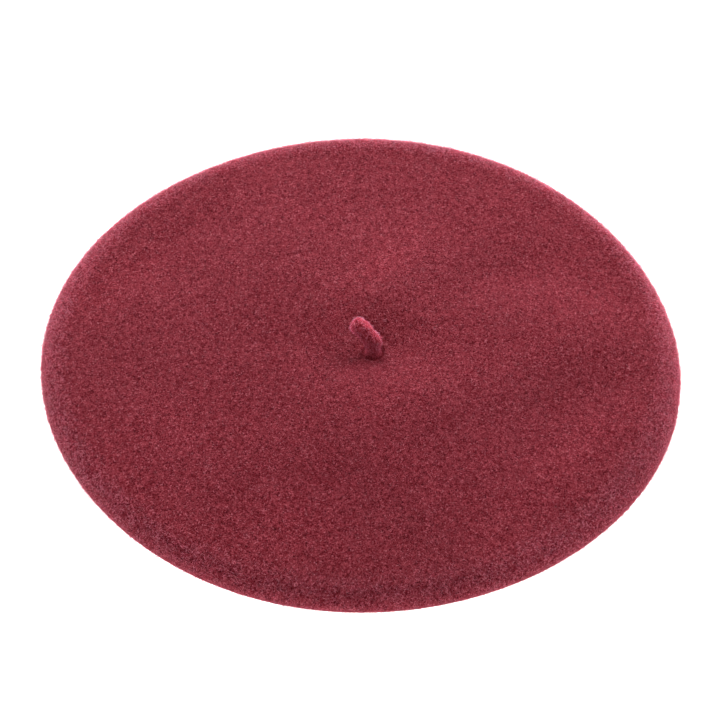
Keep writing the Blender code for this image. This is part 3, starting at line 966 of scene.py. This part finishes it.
def knot():
    """The short loop of ribbon that holds the bow together."""
    back, high = BOW_MIDDLE
    turn = round_angles(48)
    square_x, square_y = (np.sign(v) * np.abs(v) ** 0.75 for v in polar(turn[:, None], 1.0))
    across = np.linspace(-0.5, 0.5, 13)
    pinch = MM * (1 - 0.10 * np.cos(across * 2 * math.pi))
    x = 1.35 * square_x * pinch
    y = back + (square_y - 0.05) * pinch
    z = high + across * (3.9 * MM + 0.3 * MM * np.sin(turn)[:, None])
    made = cloth("knot_band", xyz(x, y, z)[:, ::-1], RIBBON, True)
    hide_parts("bow_knot")
    return made


# ---------------- materials


def material(name, roughness, sheen=0.0, sheen_roughness=0.5, sheen_tint=(1, 1, 1), specular=0.5):
    """A Principled material with the values that are the same all over it."""
    made = bpy.data.materials.new(name)
    made.use_nodes = True
    set_values(made, {"Roughness": roughness, "Specular IOR Level": specular, "Sheen Weight": sheen})
    set_values(made, {"Sheen Roughness": sheen_roughness, "Sheen Tint": (*sheen_tint, 1.0)})
    return made


def add_node(made, kind, values=(), **settings):
    """A node of the material, with its settings and its inputs' values or links."""
    node = made.node_tree.nodes.new(kind)
    for key, value in settings.items():
        setattr(node, key, value)
    for key, value in dict(values).items():
        if isinstance(value, bpy.types.NodeSocket):
            made.node_tree.links.new(value, node.inputs[key])
        else:
            node.inputs[key].default_value = value
    return node


def shader_of(made):
    """The material's Principled shader."""
    return made.node_tree.nodes["Principled BSDF"]


def set_values(made, values):
    """Set the shader's own values, which are the same all over the piece."""
    for socket, value in values.items():
        shader_of(made).inputs[socket].default_value = value


def link(made, output, target):
    """Lead a node's output to the shader."""
    made.node_tree.links.new(output, shader_of(made).inputs[target])


def place_on(made):
    """The place on the piece, in metres."""
    return add_node(made, "ShaderNodeTexCoord").outputs["Object"]


def attribute(made, name):
    """A value kept in the mesh."""
    return add_node(made, "ShaderNodeAttribute", attribute_name=name).outputs["Fac"]


def noise_texture(made, length, detail=2.0, distortion=0.0, roughness=0.5):
    """Noise with features of about that length, in metres."""
    values = {"Vector": place_on(made), "Scale": 0.5 / length, "Detail": detail}
    values.update({"Distortion": distortion, "Roughness": roughness})
    return add_node(made, "ShaderNodeTexNoise", values).outputs["Fac"]


def ramp(made, factor, stops):
    """A colour ramp from stops of place and colour."""
    node = add_node(made, "ShaderNodeValToRGB", {"Fac": factor})
    elements = node.color_ramp.elements
    while len(elements) < len(stops):
        elements.new(0.5)
    for element, (place, colour) in zip(elements, stops):
        element.position = place
        element.color = (*colour, 1.0)
    return node.outputs["Color"]


def maths(made, operation, first, second=0.0, third=0.5):
    """One sum on numbers or on the outputs of other nodes."""
    values = {0: first, 1: second, 2: third}
    return add_node(made, "ShaderNodeMath", values, operation=operation).outputs[0]


def mix(made, share, first, second):
    """A weighted sum: first at 0, second at 1."""
    return add_node(made, "ShaderNodeMix", {"Factor": share, 2: first, 3: second}).outputs[0]


def bump(made, height, distance, strength=1.0):
    """Fine relief of up to that distance."""
    node = add_node(made, "ShaderNodeBump", {"Height": height, "Distance": distance, "Strength": strength})
    link(made, node.outputs["Normal"], "Normal")


def shaded(made, colour):
    """A colour made lighter or darker by the painted light and shade kept in the mesh."""
    values = {"Color": colour, "Value": attribute(made, "brushed")}
    return add_node(made, "ShaderNodeHueSaturation", values).outputs["Color"]


def wool(name, colours, sheen):
    """Felted wool: tangled fibres, small lumps and broad soft shifts of shade."""
    made = material(name, 0.92, sheen, 0.35, FUZZ_TINT, 0.02)
    tangle = noise_texture(made, 0.24 * MM, 1.0, 1.5, 0.7)
    clumps = noise_texture(made, 1.0 * MM, 2.0, 0.6)
    broad = noise_texture(made, 22 * MM, 2.0, 0.4)
    fine = mix(made, 0.22, tangle, clumps)
    shade = mix(made, 0.04, fine, broad)
    # the colour is made lighter or darker by the painted light and shade kept in the mesh
    link(made, shaded(made, ramp(made, shade, colours)), "Base Color")
    link(made, maths(made, "MULTIPLY_ADD", tangle, 0.15), "Roughness")
    bump(made, fine, 0.5 * MM)
    return made


def fibre(name, colours, sheen, through=1.0):
    """Single wool fibres, each with a tone of its own. Through is how much light passes into them."""
    made = material(name, 0.85, sheen, 0.4, FUZZ_TINT, 0.03)
    values = {"Weight": through, "Radius": (1.0, 0.5, 0.6), "Scale": 0.14 * MM, "Anisotropy": 0.5}
    set_values(made, {f"Subsurface {key}": value for key, value in values.items()})
    # the colour is made lighter or darker by the painted light and shade kept in the mesh
    link(made, shaded(made, ramp(made, attribute(made, "tone"), colours)), "Base Color")
    return made


def ribs(made, direction, pitch):
    """Waves from 0 to 1 along or across the piece, by the distance kept in its mesh."""
    turn = maths(made, "MULTIPLY", attribute(made, direction), 2 * math.pi / pitch)
    return maths(made, "MULTIPLY_ADD", maths(made, "SINE", turn), 0.5)


def satin(name):
    """Lining satin: fine weave lines on a smooth, lustrous cloth."""
    made = material(name, 0.34, 0.05, 0.3, (1.0, 0.2, 0.28), 0.2)
    set_values(made, {"Anisotropic": 0.35})
    cloudy = noise_texture(made, 9 * MM, 3.0, 0.5)
    weave = mix(made, 0.5, ribs(made, "along", 0.9 * MM), ribs(made, "across", 0.45 * MM))
    slub = noise_texture(made, 0.7 * MM, 2.0, 1.0)
    threads = mix(made, 0.5, weave, slub)
    shade = mix(made, 0.35, cloudy, threads)
    link(made, ramp(made, shade, SATIN_COLOURS), "Base Color")
    link(made, maths(made, "MULTIPLY_ADD", threads, 0.16, 0.27), "Roughness")
    bump(made, threads, 0.05 * MM, 0.5)
    return made


def leather(name):
    """Brown sheepskin: fine pebbled grain, creases and a worn, uneven shade."""
    made = material(name, 0.5, 0.0, 0.5, (1, 1, 1), 0.3)
    values = {"Vector": place_on(made), "Scale": 1 / (0.75 * MM), "Randomness": 1.0}
    grain = add_node(made, "ShaderNodeTexVoronoi", values).outputs["Distance"]
    mottle = noise_texture(made, 5 * MM, 4.0, 0.8)
    creases = noise_texture(made, 1.6 * MM, 3.0, 2.2)
    shade = mix(made, 0.3, mottle, creases)
    link(made, ramp(made, shade, LEATHER_COLOURS), "Base Color")
    link(made, maths(made, "MULTIPLY_ADD", mottle, 0.35, 0.27), "Roughness")
    bump(made, mix(made, 0.45, grain, creases), 0.12 * MM, 0.7)
    return made


def thread(name):
    """Sewing thread, with the twist of its plies."""
    made = material(name, 0.6, 0.15, 0.5, (1, 0.8, 0.8), 0.3)
    values = {"Vector": place_on(made), "Scale": 0.314 / (0.55 * MM), "Distortion": 0.6, "Detail": 1.0}
    twist = add_node(made, "ShaderNodeTexWave", values, bands_direction="DIAGONAL").outputs["Fac"]
    shade = mix(made, 0.35, twist, attribute(made, "tone"))
    link(made, ramp(made, shade, THREAD_COLOURS), "Base Color")
    bump(made, twist, 0.06 * MM, 0.6)
    return made


def woven(name, colours, pitch, roughness):
    """A plain weave of threads that run along and across the piece."""
    made = material(name, roughness, 0.2, 0.5, (1, 1, 1), 0.25)
    fuzz = noise_texture(made, 0.25 * MM, 2.0, 0.5)
    cells = maths(made, "MULTIPLY", ribs(made, "across", pitch), ribs(made, "along", pitch * 1.25))
    shade = mix(made, 0.4, cells, fuzz)
    link(made, ramp(made, shade, colours), "Base Color")
    bump(made, cells, 0.1 * MM, 0.7)
    return made


def ribbon(name):
    """Ribbed ribbon: fine cords across its width, in a soft sheen."""
    made = material(name, 0.42, 0.3, 0.35, (1, 0.6, 0.65), 0.4)
    cords = ribs(made, "along", 0.42 * MM)
    patchy = noise_texture(made, 1.2 * MM, 2.0, 0.6)
    shade = mix(made, 0.45, cords, patchy)
    link(made, ramp(made, shade, RIBBON_COLOURS), "Base Color")
    bump(made, cords, 0.08 * MM, 0.7)
    return made


# ---------------- floor, light and camera


def floor():
    """A plain pale table top, lit a little from below so that it stays pale under the rim, and clear
    from underneath."""
    signs = ((-1, -1), (1, -1), (1, 1), (-1, 1))
    corners = [(x * TABLE_HALF, y * TABLE_HALF, -TABLE_DROP) for x, y in signs]
    mesh = bpy.data.meshes.new("table_top")
    mesh.from_pydata(corners, [], [(0, 1, 2, 3)])
    made = placed("table_top", mesh)
    coat = material("table_paint", 0.9, specular=0.1)
    set_values(coat, {"Base Color": TABLE_COLOUR, "Emission Color": WHITE, "Emission Strength": TABLE_GLOW})
    clear = add_node(coat, "ShaderNodeBsdfTransparent").outputs[0]
    below = add_node(coat, "ShaderNodeNewGeometry").outputs["Backfacing"]
    both = add_node(coat, "ShaderNodeMixShader", {0: below, 1: shader_of(coat).outputs[0], 2: clear})
    surface = coat.node_tree.nodes["Material Output"].inputs["Surface"]
    coat.node_tree.links.new(both.outputs[0], surface)
    mesh.materials.append(coat)


def look_back(made, azimuth, elevation, distance, target):
    """Put a lamp or the camera in that direction from a target, facing it."""
    turn, rise = math.radians(azimuth), math.radians(elevation)
    away = Vector((math.cos(turn) * math.cos(rise), math.sin(turn) * math.cos(rise), math.sin(rise)))
    made.location = target + away * distance
    made.rotation_mode = "QUATERNION"
    made.rotation_quaternion = (-away).to_track_quat("-Z", "Y")


def area_light(name, azimuth, elevation, size, power):
    """A soft round light that aims at the hat."""
    lamp = bpy.data.lights.new(name, "AREA")
    lamp.shape = "DISK"
    lamp.size = size
    lamp.energy = power
    made = placed(name, lamp)
    look_back(made, azimuth, elevation, LIGHT_DISTANCE, Vector())
    made.visible_camera = False


def surroundings():
    """Even white light from all round."""
    world = bpy.data.worlds.new("white_room")
    world.use_nodes = True
    background = world.node_tree.nodes["Background"]
    background.inputs["Color"].default_value = WHITE
    background.inputs["Strength"].default_value = WORLD_STRENGTH
    bpy.context.scene.world = world


def camera():
    """The camera, in front of the hat and above it, with a long lens."""
    lens = bpy.data.cameras.new("camera")
    lens.lens = CAMERA_LENS
    lens.sensor_width = CAMERA_SENSOR
    lens.clip_start = 0.01
    made = placed("camera", lens)
    look_back(made, -90, CAMERA_ELEVATION, CAMERA_DISTANCE, CAMERA_AIM)
    bpy.context.scene.camera = made


def paint(pieces, finish, body="hat"):
    """Give pieces a material and a slot, and let them ride on a body."""
    for piece in pieces:
        piece.data.materials.clear()
        piece.data.materials.append(finish)
        if body:
            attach(piece, body)


def felt_and_nap():
    """The felt body and its nap."""
    outer = felt_outer()
    crown_fibre = fibre("burgundy_fibre", NAP_COLOURS, 0.15)
    rim_fibre = fibre("burgundy_fuzz", FUZZ_COLOURS, 0.2, 0.8)
    stray_fibre = fibre("stray_fuzz", STRAY_COLOURS, 0.2, 0.2)
    finishes = {"crown": crown_fibre, "rim": rim_fibre, "stray": stray_fibre, "under": crown_fibre}
    paint([felt_body(outer)], wool("burgundy_wool", FELT_COLOURS, 0.35))
    for piece in felt_nap(outer):
        paint([piece], finishes[piece.name.split("_")[0]])


def stem_and_tab():
    """The curled stem with its nap, which ride on no body, and the stem's inner end, which rides on the hat.
    """
    grid = stem_grid()
    stem_wool = wool("stem_wool", STEM_COLOURS, 1.0)
    stalk = [stem(grid), stem_nap(grid)]
    for piece in stalk:
        bends(piece)
    paint(stalk[:1], stem_wool, None)
    paint(stalk[1:], fibre("stem_fuzz", STEM_FUZZ_COLOURS, 0.5), None)
    paint([stem_tail()], stem_wool)


def inside():
    """The lining and the sweatband with what is sewn to them."""
    tip, tip_grid = lining_tip()
    paint([tip, lining_side()], satin("burgundy_satin"))
    paint([stem_tack(), lining_seam(tip_grid), band_stitches()], thread("burgundy_thread"))
    paint([size_tab(tip_grid)], woven("cream_weave", TAB_COLOURS, 0.45 * MM, 0.75))
    paint([sweatband()], leather("brown_leather"))
    paint([bow(), knot()], ribbon("burgundy_ribbon"))
    paint([seam_tape()], woven("dark_weave", TAPE_COLOURS, 0.5 * MM, 0.8))


def main():
    """The whole scene."""
    camera()
    floor()
    surroundings()
    for light in LIGHTS:
        area_light(*light)
    bpy.context.scene.view_settings.view_transform = "Standard"
    felt_and_nap()
    stem_and_tab()
    inside()


main()
